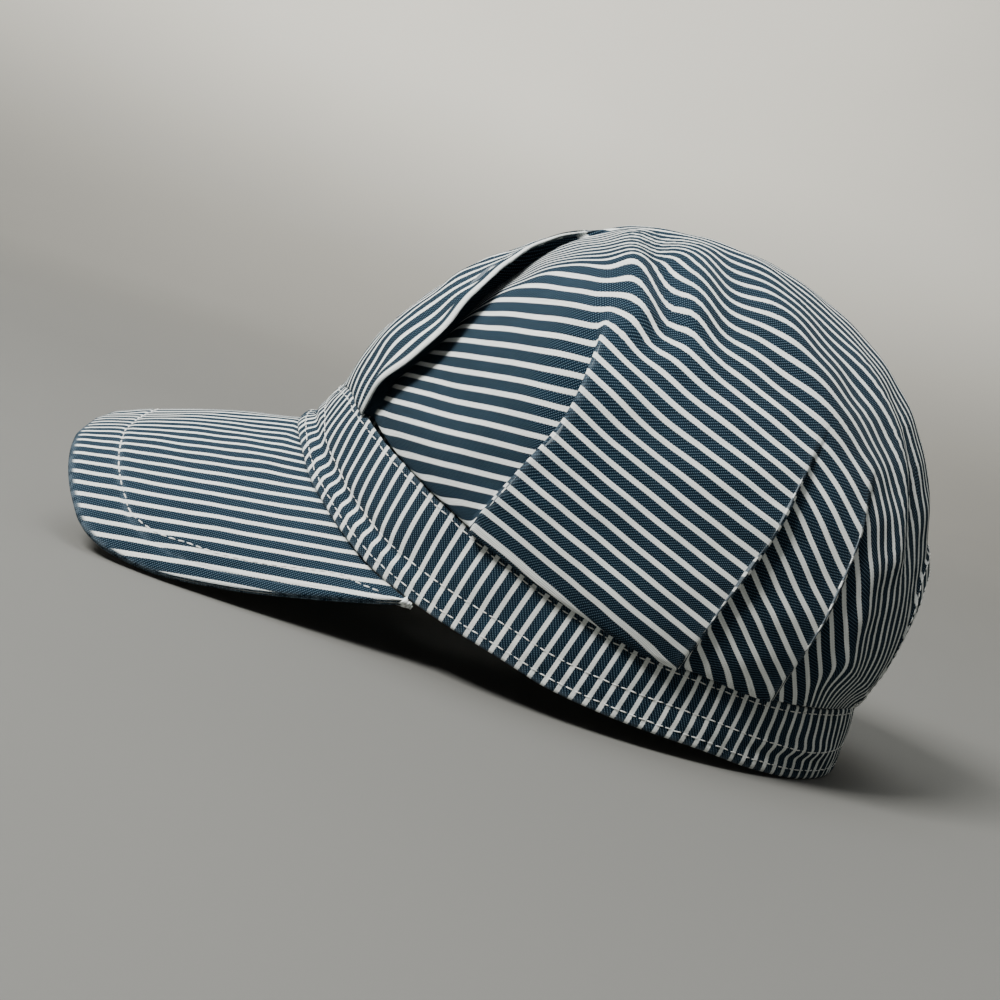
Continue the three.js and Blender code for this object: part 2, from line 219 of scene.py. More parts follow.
# Columns of half the crown: on each sheet between the folds, and through each fold.
SHEET_COLUMNS = (46, 42, 34, 22, 42)
FOLD_COLUMNS = 12
CROWN_GRID_ROWS = 100
# Seams, in mm from the edge they follow.
BAND_SEAMS = (3.0, 9.5)
BAND_TOP_SEAM = 2.0
ARCH_SEAMS = (1.8, 8.2)
BRIM_SEAM = 15.0
STITCH_LENGTH = 2.3
STITCH_PITCH = 2.9

# Reading tables, small helpers.


def read(rows, name, at, key="azimuth"):
    """One column of a table between its rows, along a curve that never overshoots."""
    xs, ys = rows[key], rows[name]
    slope = np.diff(ys) / np.diff(xs)
    tangent = np.empty(len(xs))
    tangent[0], tangent[-1] = slope[0], slope[-1]
    a, b = slope[:-1], slope[1:]
    total = np.where(a * b > 0, a + b, 1)
    tangent[1:-1] = np.where(a * b > 0, 2 * a * b / total, 0)
    x = np.clip(np.asarray(at, float), xs[0], xs[-1])
    i = np.clip(np.searchsorted(xs, x, side="right") - 1, 0, len(xs) - 2)
    span = xs[i + 1] - xs[i]
    s = (x - xs[i]) / span
    rise = s * s * (3 - 2 * s)
    lead = s * (1 - s) ** 2 * tangent[i] * span
    trail = s * s * (s - 1) * tangent[i + 1] * span
    return ys[i] * (1 - rise) + ys[i + 1] * rise + lead + trail


def power(value, exponent):
    return np.sign(value) * np.abs(value) ** exponent


def smooth(value, low, high):
    s = np.clip((value - low) / (high - low), 0, 1)
    return s * s * (3 - 2 * s)


def unit(v):
    return v / np.maximum(np.linalg.norm(v, axis=-1, keepdims=True), 1e-9)


def bell(distance, width):
    return np.exp(-((distance / width) ** 2))


def distances(line):
    """How far along it each point of a line lies."""
    return np.concatenate([[0], np.cumsum(np.linalg.norm(np.diff(line, axis=0), axis=1))])


def waves(points, seed, size):
    """A soft field of about -1 to 1 over space, from a few sine waves of about one size."""
    count = 9
    rng = np.random.default_rng(seed)
    total = np.zeros(points.shape[:-1])
    for _ in range(count):
        way = unit(rng.normal(size=3)) * 2 * math.pi / (size * rng.uniform(0.6, 1.6))
        total += np.sin(points @ way + rng.uniform(0, 2 * math.pi))
    return total / math.sqrt(count / 2) / 1.6


def turn_of(azimuth):
    a = np.abs(azimuth)
    return np.minimum(a, 360 - a)


# Outline, band and crown surfaces.


def ring(azimuth, offset):
    """A point of the head opening's outline, moved out by an offset."""
    angle = np.radians(azimuth)
    s, c = np.sin(angle), np.cos(angle)
    squareness = np.where(c > 0, FRONT_SQUARENESS, BACK_SQUARENESS)
    x = HALF_WIDTH * power(s, 2 / squareness)
    y = -HALF_LENGTH * power(c, 2 / squareness)
    nx = power(x / HALF_WIDTH, squareness - 1) / HALF_WIDTH
    ny = power(y / HALF_LENGTH, squareness - 1) / HALF_LENGTH
    size = np.hypot(nx, ny)
    return x + offset * nx / size, y + offset * ny / size


def band_low(azimuth):
    return SEAM_RISE * read(BAND_ROWS, "low", turn_of(azimuth))


def band_high(azimuth):
    return band_low(azimuth) + BAND_WIDTH * read(BAND_ROWS, "tall", turn_of(azimuth))


def crown_skin(azimuth, climb):
    """The crown's smooth outer skin; climb is 0 at the band and 1 at the peak."""
    turn = turn_of(azimuth)
    shape = 2 / read(CROWN_ROWS, "roundness", turn)
    angle = np.clip(climb, 0, 1) * math.pi / 2
    near = np.cos(angle) ** shape
    up = np.sin(angle) ** shape
    swell = 1 + read(CROWN_ROWS, "swell", turn) * 2.6 * up**0.6 * (1 - up)
    x, y = ring(azimuth, -BAND_LEAN * read(BAND_ROWS, "lean", turn))
    base = band_high(turn) + SEAM_GAP
    return np.stack(
        [x * near * swell, PEAK_BACK + (y - PEAK_BACK) * near * swell, base + (CROWN_RISE - base) * up],
        axis=-1,
    )


def crown_normal(azimuth, climb):
    low, high = np.clip(climb - 0.004, 0, 1), np.clip(climb + 0.004, 0, 0.999)
    along = crown_skin(azimuth + 0.25, climb) - crown_skin(azimuth - 0.25, climb)
    up = crown_skin(azimuth, high) - crown_skin(azimuth, low)
    return unit(np.cross(along, up))


def fold_edge(fold, climb):
    path = table("climb at", (0, fold["foot"]), (0.3, fold["third"]), (max(fold["end"], 0.5), fold["top"]))
    return read(path, "at", climb, key="climb")


def fold_strength(fold, climb):
    rising = fold["start"] + (1 - fold["start"]) * smooth(climb, 0, fold["deepest"])
    falling = 1 - smooth(climb, fold["hold"], fold["end"])
    return np.where(climb <= fold["deepest"], rising, falling)


def crown_radius(turn, climb):
    """Distance of the crown's skin from the upright line through its peak."""
    return np.linalg.norm(crown_skin(turn, climb)[..., :2] - np.array([0, PEAK_BACK]), axis=-1)


def fold_bend(fold, turn, climb):
    """Shift along the skin's normal in mm and along the azimuth in degrees, made by one fold."""
    strength = fold_strength(fold, climb)
    s = (turn - fold_edge(fold, climb)) * fold["side"]
    lift, sink = PLEAT_HEIGHT * fold["lift"], POCKET_DEPTH * fold["sink"]
    through = np.clip(-s / FOLD_TURN, 0, 1)
    rest = np.maximum(-s - FOLD_TURN, 0)
    above = lift * np.clip(1 - s / fold["lift_spread"], 0, 1) ** 2
    inside = lift - (lift + sink) * read(FOLD_PATH, "drop", through, key="turn")
    below = -sink * np.clip(1 - rest / fold["sink_spread"], 0, 1) ** 1.6
    shift = np.where(s >= 0, above, np.where(s > -FOLD_TURN, inside, below))
    tucked = read(FOLD_PATH, "tuck", through, key="turn")
    angle = np.degrees(fold["tuck"] / np.maximum(crown_radius(turn, climb), LEAST_RADIUS))
    let_go = 0.95 * np.clip(1 - rest / (2.4 * angle), 0, 1) ** 2
    tuck = np.where(s >= 0, 0, np.where(s > -FOLD_TURN, tucked, let_go)) * angle
    return shift * strength, tuck * strength**1.5 * fold["side"]


def spread(start, end, count, lean):
    """Shares from start to end, closer together at the ends where lean is 1."""
    t = np.arange(count) / count
    eased = (1 - lean) * t + lean * (0.5 - 0.5 * np.cos(math.pi * t))
    return start + (end - start) * eased


def crown_turns(climb):
    """Azimuths of half the crown's columns at each climb, close together around the folds."""
    parts, before = [], np.zeros_like(climb)
    for fold, count in zip(FOLDS, SHEET_COLUMNS):
        edge = fold_edge(fold, climb)
        near = edge - FOLD_TURN if fold["side"] > 0 else edge
        parts.append(spread(before[:, None], near[:, None], count, 0.55))
        parts.append(spread(near[:, None], near[:, None] + FOLD_TURN, FOLD_COLUMNS, 0))
        before = near + FOLD_TURN
    parts.append(spread(before[:, None], 180.0, SHEET_COLUMNS[-1], 0.3))
    parts.append(np.full((len(climb), 1), 180.0))
    return np.concatenate(parts, axis=1).T


def arch_edge(x):
    share = np.clip(np.abs(x) / (ARCH_WIDTH / 2), 0, 1)
    return band_high(180.0) + ARCH_RISE * (1 - share**ARCH_SQUARENESS) ** (1 / ARCH_SQUARENESS)


def first_climbs(columns):
    """Lowest climb of each column: the band, or the edge of the rear arch."""
    trial = np.linspace(0, 0.6, 601)
    turns = crown_turns(trial)
    starts = np.zeros(columns)
    for i in range(columns):
        if turns[i, 0] < 100:
            continue
        point = crown_skin(turns[i], trial)
        inside = (np.abs(point[:, 0]) < ARCH_WIDTH / 2) & (point[:, 2] < arch_edge(point[:, 0]))
        if inside[0]:
            out = int(np.argmin(inside))
            gap = point[:, 2] - arch_edge(point[:, 0])
            back = -gap[out - 1] / max(gap[out] - gap[out - 1], 1e-6)
            starts[i] = trial[out - 1] + (trial[out] - trial[out - 1]) * min(max(back, 0), 1)
    return starts


def ridge_shift(points):
    """Height of the soft ridges and valleys at points of the skin."""
    total = np.zeros(points.shape[:-1])
    t = np.linspace(0, 1, 21)[:, None]
    for r in RIDGES:
        ends = np.array([[r["a0"], r["c0"]], [r["a1"], r["c1"]], [r["a2"], r["c2"]]])
        middle = 2 * ends[1] - (ends[0] + ends[2]) / 2
        line = (1 - t) ** 2 * ends[0] + 2 * t * (1 - t) * middle + t**2 * ends[2]
        path = crown_skin(line[:, 0], line[:, 1])
        best = np.full(points.shape[:-1], 1e9)
        along = np.zeros(points.shape[:-1])
        for k, p in enumerate(path):
            d = np.linalg.norm(points - p, axis=-1)
            closer = d < best
            best = np.where(closer, d, best)
            along = np.where(closer, t[k, 0], along)
        fade = np.clip(np.sin(math.pi * (0.06 + 0.88 * along)), 0, 1) ** 0.8
        total += r["height"] * fade * bell(best, r["width"])
    return total


# Stripes on the crown. Each field is a depth under the crest, and the stripes are its level lines.


def crest_line():
    """The crown's middle line, seen from the side."""
    climb = np.linspace(0, 1, 160)
    front = crown_skin(np.zeros(160), climb)
    rear = crown_skin(np.full(160, 180.0), climb)[::-1]
    return np.concatenate([front, rear])[:, 1:]


def crest_depth(points, crest):
    """Distance inside the crest, seen from the side."""
    flat = points[..., 1:].reshape(-1, 2)
    best = np.full(len(flat), 1e9)
    for a, b in zip(crest[:-1], crest[1:]):
        way = b - a
        size = float(way @ way)
        if size < 1e-9:
            continue
        t = np.clip((flat - a) @ way / size, 0, 1)
        best = np.minimum(best, np.linalg.norm(flat - (a + t[:, None] * way), axis=1))
    return best.reshape(points.shape[:-1])


def sheet_lines(crest):
    """Normal and offset of the stripe lines of each sheet, matched where two sheets meet."""
    normals = [
        closer * np.array([-math.sin(math.radians(slope)), math.cos(math.radians(slope))])
        for slope, closer in SHEET_SLOPES
    ]
    at = [crown_skin(np.array(fold_edge(fold, 0.25)), np.array(0.25))[1:] for fold in FOLDS]
    offsets = [0.0] * 4
    offsets[1] = float(np.max(crest @ normals[1]))
    offsets[0] = float(offsets[1] + at[1] @ (normals[0] - normals[1]))
    offsets[2] = float(offsets[1] + at[2] @ (normals[2] - normals[1]))
    offsets[3] = float(offsets[2] + at[3] @ (normals[3] - normals[2]))
    return normals, offsets


def sheet_depth(points, depth, turn, climb, crest):
    """The depth under the crest, changed behind the front fold to straight lines on each sheet."""
    fields = [np.maximum(offset - points[..., 1:] @ normal, 0) for normal, offset in zip(*sheet_lines(crest))]
    mixed = depth
    for fold, field in zip(FOLDS, fields):
        width = FOLD_TURN * 0.5 + smooth(climb, fold["hold"], fold["end"] + 0.1) ** 2 * 9
        middle = fold_edge(fold, climb) - fold["side"] * FOLD_TURN / 2
        mixed = mixed + (field - mixed) * smooth(turn, middle - width, middle + width)
    # Above the rear folds the sheets flow together: a soft minimum of their fields.
    softness = 3.5
    total = sum(np.exp(-(field - fields[1]) / softness) for field in fields[1:])
    least = fields[1] - softness * np.log(total)
    return mixed + (least - mixed) * smooth(climb, 0.24, 0.44) * smooth(turn, 92, 104)


def arc_under(depth, radius):
    """Distance along a rounded section from a depth under its crest; it goes on straight lower down."""
    turning = 0.55 * radius
    arc = radius * np.arccos(1 - np.minimum(depth, turning) / radius)
    return arc + 1.12 * np.maximum(depth - turning, 0) + 0.488 * (CREST_RADIUS - radius)


def stripe_across(points, turn, climb, bumps):
    """Distance across the stripes from the crown's middle line, in mm."""
    crest = crest_line()
    depth = crest_depth(points, crest)
    behind_fold = turn - fold_edge(FOLDS[0], climb)
    steep = (1 - smooth(turn, 76, 104)) * smooth(behind_fold, -1, 2) * (1 - smooth(climb, 0.74, 0.94))
    inner = smooth(depth, 5 - 5 * steep, 34 - 22 * steep - 10 * smooth(turn, 112, 140))
    under = depth + inner * (sheet_depth(points, depth, turn, climb, crest) - depth)
    # The stripes rise and sink a little with the soft ridges.
    follow = 0.6 * smooth(depth, 3, 14) * (1 - 0.6 * smooth(turn, 128, 144))
    seen_from_side = arc_under(under, CREST_RADIUS - 57 * steep) + follow * bumps
    # Near the middle line, and on the whole front sheet, they run straight over the top.
    aside = np.abs(points[..., 0])
    over_top = HALF_WIDTH * np.arcsin(np.minimum(aside / HALF_WIDTH, 0.97))
    front = 1 - smooth(behind_fold, -1, 2 + 18 * smooth(climb, 0.6, 0.85))
    nearest = 14 + 20 * front
    furthest = 46 + 32 * front - 12 * smooth(turn, 60, 100)
    return over_top + (seen_from_side - over_top) * smooth(aside, nearest, furthest)


# Meshes from grids of points.


def grid_normals(grid, around):
    if around:
        along = np.roll(grid, -1, axis=0) - np.roll(grid, 1, axis=0)
    else:
        along = np.gradient(grid, axis=0)
    return unit(np.cross(unit(along), unit(np.gradient(grid, axis=1))))


class Skin:
    """Points of a sheet's outer side by column and row, with cloth coordinates, wear and forced colours."""

    def __init__(self, points, across, length, wear, white=None, blue=None):
        self.points, self.across, self.length, self.wear = points, across, length, wear
        self.white = np.zeros_like(wear) if white is None else white
        self.blue = np.zeros_like(wear) if blue is None else blue


def sheet_faces(columns, rows, around, open_top):
    """Quads of both sides of a sheet and of its edges; the inner side's points follow the outer side's."""
    half = columns * rows
    index = np.arange(half).reshape(columns, rows)
    cur, nxt = (index, np.roll(index, -1, axis=0)) if around else (index[:-1], index[1:])
    quads = np.stack([cur[:, :-1], nxt[:, :-1], nxt[:, 1:], cur[:, 1:]], axis=-1).reshape(-1, 4)
    faces = [quads, quads[:, ::-1] + half]
    faces.append(np.stack([cur[:, 0], cur[:, 0] + half, nxt[:, 0] + half, nxt[:, 0]], axis=-1))
    if open_top:
        faces.append(np.stack([cur[:, -1], nxt[:, -1], nxt[:, -1] + half, cur[:, -1] + half], axis=-1))
    if not around:
        for side, step in ((index[0], 1), (index[-1], -1)):
            ends = np.stack([side[:-1], side[1:], side[1:] + half, side[:-1] + half], axis=-1)
            faces.append(ends[:, ::step])
    return [tuple(face) for face in np.concatenate(faces).tolist()]


def cloth_mesh(name, skin, wall, around, peak=None, plain_inside=0.75):
    """Closed sheet under a skin, with its thickness below it and its cloth coordinates."""
    outer = skin.points
    columns, rows = outer.shape[:2]
    half = columns * rows
    inner = outer - grid_normals(outer, around) * wall
    points = np.concatenate([outer.reshape(-1, 3), inner.reshape(-1, 3)])
    polygons = sheet_faces(columns, rows, around, peak is None)
    both_sides = (skin.across, skin.length, skin.wear, skin.blue)
    across, length, wear, blue = (np.tile(field.ravel(), 2) for field in both_sides)
    white = np.append(skin.white.ravel(), np.zeros(half))
    inside = np.repeat([0.0, plain_inside], half)
    if peak is not None:
        top, under = len(points), len(points) + 1
        points = np.concatenate([points, [peak, peak - np.array([0, 0, wall])]])
        last = [column * rows + rows - 1 for column in range(columns)]
        for a, b in zip(last, last[1:] + last[:1]):
            polygons += [(a, b, top), (a + half, under, b + half)]
        length = np.append(length, [length.max()] * 2)
        inside = np.append(inside, [0, plain_inside])
        across, wear, white, blue = (np.append(field, [0, 0]) for field in (across, wear, white, blue))
    return make_mesh(name, points, polygons, across, length, (wear, inside, white, 1 - blue))


def to_frame(points):
    return (np.asarray(points) + np.array([0, SHIFT, 0])) / 1000


def placed(name, data):
    obj = bpy.data.objects.new(name, data)
    bpy.context.scene.collection.objects.link(obj)
    return obj


def make_mesh(name, points, polygons, across, length, state):
    """A mesh with cloth coordinates as its UV map, and wear, inside, white and not blue as its colour."""
    mesh = bpy.data.meshes.new(name)
    mesh.from_pydata(to_frame(points).tolist(), [], polygons)
    loops = np.empty(len(mesh.loops), dtype=np.int64)
    mesh.loops.foreach_get("vertex_index", loops)
    layer = mesh.uv_layers.new(name="cloth")
    layer.data.foreach_set("uv", np.stack([across[loops], length[loops]], axis=-1).ravel())
    colour = mesh.color_attributes.new(name="state", type="FLOAT_COLOR", domain="POINT")
    values = np.stack(state, axis=-1)
    colour.data.foreach_set("color", values.astype(np.float32).ravel())
    mesh.polygons.foreach_set("use_smooth", np.ones(len(mesh.polygons), dtype=bool))
    mesh.validate()
    mesh.update()
    obj = placed(name, mesh)
    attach(obj, "root")
    return obj


# Crown.


def crown_grid():
    """Half the crown's outer skin, from front to rear, with what the folds and ridges do there."""
    columns = crown_turns(np.zeros(1)).shape[0]
    starts = first_climbs(columns)
    step = np.arange(CROWN_GRID_ROWS) / (CROWN_GRID_ROWS - 1)
    share = 0.4 * step + 0.6 * step**1.5
    climb = starts[:, None] + (0.992 - starts[:, None]) * share[None, :]
    turn = np.stack([crown_turns(climb[i])[i] for i in range(columns)])
    shift = np.zeros_like(climb)
    tuck = np.zeros_like(climb)
    for fold in FOLDS:
        s, t = fold_bend(fold, turn, climb)
        shift += s
        tuck += t
    base = crown_skin(turn, climb)
    bumps = ridge_shift(base)
    azimuth = turn + tuck
    point = crown_skin(azimuth, climb)
    across = stripe_across(point, turn, climb, bumps)
    normal = crown_normal(azimuth, climb)
    steps = np.linalg.norm(np.diff(base, axis=1), axis=-1)
    gone = np.concatenate([np.zeros((columns, 1)), np.cumsum(steps, axis=1)], axis=1)
    return turn, climb, starts, point, normal, shift + bumps, across, gone


def seam_roll(turn, gone, point):
    """The crown's foot bulges out over the band: shift out and drop, in mm."""
    size = read(CROWN_ROWS, "roll", turn) * (1 + 0.16 * waves(point, 5, 26))
    out = size * (1 - np.exp(-gone / 1.3)) * np.exp(-gone / 15)
    return out, size * 0.75 * bell(gone - 2.2, 1.9)


def mirrored(half, flip):
    """A half set of columns and its mirror, as a full turn. flip is 1, or a vector for points."""
    return np.concatenate([half, half[-2:0:-1] * flip])


def along_cloth(points, across):
    """Distance along the stripes: the field that grows as evenly as it can along them, and not across."""
    di, dj = np.gradient(points, axis=0), np.gradient(points, axis=1)
    ui, uj = np.gradient(across, axis=0), np.gradient(across, axis=1)
    a, b, c = (di * di).sum(-1), (di * dj).sum(-1), (dj * dj).sum(-1)
    slope = di * (c * ui - b * uj)[..., None] + dj * (a * uj - b * ui)[..., None]
    way = unit(np.cross(unit(np.cross(di, dj)), unit(slope)))
    way *= np.sign(way[..., 1].sum())
    low, high, whole = slice(None, -1), slice(1, None), slice(None)
    edges = []
    for first, second, wide in (((low, whole), (high, whole), c), ((whole, low), (whole, high), a)):
        step = points[second] - points[first]
        size = np.maximum(np.linalg.norm(step, axis=-1), 1e-3)
        weight = np.clip(np.sqrt(np.maximum(wide[first], 1e-6)) / size, 0.05, 20)
        edges.append((first, second, weight, ((way[first] + way[second]) / 2 * step).sum(-1)))
    return least_squares(edges, points[..., 1].copy())


def least_squares(edges, start, rounds=500):
    """Values on a grid whose differences along its edges are closest to the wanted ones."""

    def pushed(values, wanted):
        total = np.zeros_like(start)
        for first, second, weight, step in edges:
            push = weight * (values[second] - values[first] - (step if wanted else 0))
            total[second] += push
            total[first] -= push
        return total

    size = np.zeros_like(start)
    for first, second, weight, _ in edges:
        size[first] += weight
        size[second] += weight
    values = start
    left = -pushed(values, True)
    way = left / size
    worth = float((left * way).sum())
    for _ in range(rounds):
        moved = pushed(way, False)
        share = worth / max(float((way * moved).sum()), 1e-12)
        values = values + share * way
        left = left - share * moved
        eased = left / size
        new = float((left * eased).sum())
        way = eased + new / max(worth, 1e-12) * way
        worth = new
    return values


def crown():
    turn, climb, starts, point, normal, shift, across, gone = crown_grid()
    on_band = (starts == 0)[:, None]
    out, drop = (np.where(on_band, part, 0) for part in seam_roll(turn, gone, point))
    foot = smooth(gone, 0, 4)[..., None]
    way = unit(normal * np.array([1, 1, 0]) * (1 - foot) + normal * foot)
    hem = np.where(on_band, 0, 0.75 * (1 - smooth(gone, 8.6, 9.6)) * smooth(gone, 0, 0.9))
    spot = point + way * (shift + out + hem)[..., None]
    spot[..., 2] -= drop
    length = along_cloth(spot, across)
    flip = np.array([-1, 1, 1])
    spot, way = mirrored(spot, flip), mirrored(way, flip)
    wear = crown_wear(turn, climb, gone, starts)
    white, blue = pocket_rim_and_painted_shade(turn, climb)
    across, length, wear, white, blue, gone = (
        mirrored(field, 1) for field in (across, length, wear, white, blue, gone)
    )
    soft = smooth(gone, 0, 14)
    slow = 0.85 * waves(spot, 11, 44) * soft
    quick = 0.3 * waves(spot, 12, 17) * (0.4 + 0.6 * soft)
    spot += way * (slow + quick)[..., None]
    peak = np.array([0, PEAK_BACK, float(spot[:, -1, 2].mean()) + 0.05])
    obj = cloth_mesh("crown_cloth", Skin(spot, across, length, wear, white, blue), CROWN_WALL, True, peak)
    return obj, spot, way, gone, starts


def pocket_rim_and_painted_shade(turn, climb):
    """The lip's white stripe on the front fold, the blue one beside it, and the pocket wall's painted shade.
    """
    fold = FOLDS[0]
    inside = turn - fold_edge(fold, climb)
    s = inside * fold["side"] * math.radians(1) * crown_radius(turn, climb)
    there = smooth(fold_strength(fold, climb), 0.15, 0.35)
    white = there * (1 - smooth(np.abs(s - 0.2), 0.55, 0.85))
    # Painted shade: the pocket's wall under the lip is made plain blue, dark like the shadow there.
    wall = smooth(inside, 0.4, 0.7) * (1 - smooth(inside, 2.6, 3.4))
    blue = there * np.maximum(1 - smooth(np.abs(s - 2.3), 1.2, 1.6), wall)
    return white, blue


def crown_wear(turn, climb, gone, starts):
    """Rubbed cloth along the folds' edges and around the arch."""
    rubbed = np.zeros_like(turn)
    for fold in FOLDS:
        rubbed += 0.4 * fold_strength(fold, climb) * bell(turn - fold_edge(fold, climb), 0.6)
    edge = np.where((starts > 0)[:, None], 0.5 * np.exp(-gone / 1.2), 0)
    return np.clip(rubbed + edge, 0, 1)


# Band.


def band_offset(azimuth, height, tall):
    """How far the band's skin stands out from the outline at a height above its lower edge."""
    turn = turn_of(azimuth)
    share = height / tall
    flare = read(HEM_STEPS, "flare", share, key="height")
    crease = read(HEM_STEPS, "crease", share, key="height")
    bend = read(HEM_ROWS, "weight", turn) * (HEM_FLARE * flare - HEM_CREASE * crease)
    lean = -BAND_LEAN * read(BAND_ROWS, "lean", turn) * share
    # The cloth is puffed between its seams, rolled in at its edges and gathered along the seams.
    puff = 0.3 * np.sin(math.pi * np.clip((height - 3) / 6.5, 0, 1)) ** 2
    puff += 0.35 * np.sin(math.pi * np.clip((height - 9.5) / np.maximum(tall - 12, 4), 0, 1)) ** 0.7
    rolled = -0.55 * np.exp(-height / 0.5) - 0.5 * np.exp(-(tall - height) / 0.5)
    along = azimuth * 1.55
    gather = 0.16 * np.sin(along / 0.9 + 2 * np.sin(along / 11)) * bell(height - BAND_SEAMS[0], 2.2)
    upper = np.sin(along / 1.1 + 1.5 * np.sin(along / 17) + 1)
    gather += 0.14 * upper * bell(tall - BAND_TOP_SEAM - height, 2.2)
    # A pinch shows on its side towards the rear.
    pinch = bell(turn - 143, 13) * (1.3 * bell(share - 0.42, 0.1) - 1.1 * bell(share - 0.27, 0.08))
    return bend + lean + puff + rolled + gather + pinch


def band():
    columns, rows = 900, 44
    azimuth = (360 * np.arange(columns) / columns - 180)[:, None]
    share = np.linspace(0, 1, rows)[None, :]
    share = 0.6 * share + 0.4 * (0.5 - 0.5 * np.cos(math.pi * share))
    low = band_low(azimuth)
    tall = band_high(azimuth) - low
    height = tall * share
    x, y = ring(azimuth, band_offset(azimuth, height, tall))
    points = np.stack([x, y, low + height], axis=-1)
    outline = np.stack(ring(azimuth[:, 0], 0.0), axis=-1)
    arc = distances(outline)
    round_to = arc[-1] + np.linalg.norm(outline[0] - outline[-1])
    # A whole number of stripes goes round, and they slant where the band dips to the rear.
    repeats = round(round_to / BAND_STRIPE)
    slant = 0.32 * bell(turn_of(azimuth) - 88, 42) * np.sign(azimuth)
    across = arc[:, None] * repeats * STRIPE / round_to - slant * (height - tall / 2)
    points += grid_normals(points, True) * (0.35 * waves(points, 21, 30) * smooth(share, 0, 0.3))[..., None]
    wear = 0.7 * np.exp(-height / 0.7) + 0.35 * np.exp(-(tall - height) / 0.8)
    obj = cloth_mesh("band_cloth", Skin(points, across, height, wear), BAND_WALL, True)
    return obj, points, height, tall


# Brim.


def brim_skin(azimuth, share):
    """The brim's top skin: azimuth of the seam, and share of the way from the seam to the edge."""
    turn, side = np.abs(azimuth), np.where(azimuth < 0, -1.0, 1.0)
    sx, sy = ring(turn, 0.0)
    sz = band_low(turn) - SEAM_GAP - 0.1
    ex = (BRIM_WIDTH / 2) * read(BRIM_ROWS, "across", turn)
    ey = -HALF_LENGTH - BRIM_REACH * read(BRIM_ROWS, "reach", turn)
    ez = BRIM_END_RISE * read(BRIM_ROWS, "height", turn)
    swell = BRIM_SWELL * 4 * share * (1 - share) * np.cos(np.radians(turn))
    x = side * (sx + (ex - sx) * share)
    return np.stack([x, sy + (ey - sy) * share, sz + (ez - sz) * share + swell], axis=-1)


def brim_up(azimuth):
    turn = np.clip(azimuth, 8 - BRIM_END, BRIM_END - 8)
    across = brim_skin(turn + 1, 0.6) - brim_skin(turn - 1, 0.6)
    forward = brim_skin(turn, 0.7) - brim_skin(turn, 0.5)
    normal = unit(np.cross(forward, across))
    return normal * np.sign(normal[..., 2:])


def brim_across(points):
    """Distance across the brim's stripes, which rise a little to the rear, from its middle line."""
    x, y, z = points[..., 0], points[..., 1], points[..., 2]
    crest = brim_skin(np.zeros(80), np.linspace(1, 0, 80))
    here = np.interp(y, crest[:, 1], crest[:, 2])
    there = np.interp(BRIM_SECTION_Y, crest[:, 1], crest[:, 2])
    level = there + math.tan(math.radians(BRIM_STRIPE_RISE)) * (y - BRIM_SECTION_Y)
    middle = 1 - smooth(np.abs(x), 5, 55)
    drop = np.maximum(middle * here + (1 - middle) * level - z, x**2 / 260)
    return np.sign(x) * STRIPE * read(BRIM_SECTION, "stripe", np.sqrt(drop), key="root")


def brim_layer(name, depth, wall, inset, inside, groove):
    """One layer of the brim, with its own rounded edge."""
    columns, rows = 241, 56
    azimuth = np.linspace(BRIM_END, -BRIM_END, columns)[:, None]
    share = np.linspace(0, 1, rows)[None, :] ** 0.8
    flat = brim_skin(azimuth, share)
    reach = np.linalg.norm(flat[:, -1] - flat[:, 0], axis=-1)[:, None]
    share = np.minimum(share, 1 - inset / reach)
    points = brim_skin(azimuth, share)
    up = np.broadcast_to(brim_up(azimuth), points.shape)
    from_edge = reach * (1 - share) - inset
    across = brim_across(points) + 0.6
    sag = 0.2 * waves(points, 31, 34) + 0.12 * waves(points, 32, 15)
    dent = groove * bell(from_edge - BRIM_SEAM, 0.8)
    rounded = 0.5 * wall * np.exp(-from_edge / 0.45)
    pillow = 0.25 * smooth(from_edge, 0.5, 4)
    points = points + up * (-depth + sag - dent - rounded + pillow)[..., None]
    wear = 0.75 * np.exp(-from_edge / 1.1) + 0.25 * bell(from_edge - BRIM_SEAM, 1.2)
    blue = smooth(from_edge, 1.7, 1.0)
    skin = Skin(points, across, points[..., 1], np.clip(wear, 0, 1), blue=blue)
    return cloth_mesh(name, skin, wall, False, plain_inside=inside), points, from_edge, up


# Stitches.


def capsule(length, thick):
    """Points and faces of one stitch along x, thinner at its ends."""
    rings = ((-0.5, 0.25), (-0.4, 0.8), (-0.12, 1.0), (0.12, 1.0), (0.4, 0.8), (0.5, 0.25))
    sides = 6
    points, faces = [], []
    for along, wide in rings:
        dip = -0.35 * thick * (abs(along) * 2) ** 3
        for k in range(sides):
            a = 2 * math.pi * k / sides
            radius = wide * thick / 2
            points.append((along * length, radius * math.cos(a), radius * math.sin(a) + dip))
    for r in range(len(rings) - 1):
        for k in range(sides):
            a, b = r * sides + k, r * sides + (k + 1) % sides
            faces.append((a, b, b + sides, a + sides))
    faces.append(tuple(range(sides - 1, -1, -1)))
    faces.append(tuple((len(rings) - 1) * sides + k for k in range(sides)))
    return np.array(points), faces


def points_at(at, gone, line):
    """Points of a line at some distances along it."""
    return np.stack([np.interp(at, gone, line[:, k]) for k in range(3)], axis=-1)


def resample(line, normals, pitch):
    """Middles, directions and normals at one pitch along a line of points."""
    gone = distances(line)
    at = (np.arange(int(gone[-1] / pitch)) + 0.5) * pitch
    way = points_at(at + 0.4, gone, line) - points_at(at - 0.4, gone, line)
    return points_at(at, gone, line), unit(way), unit(points_at(at, gone, normals))


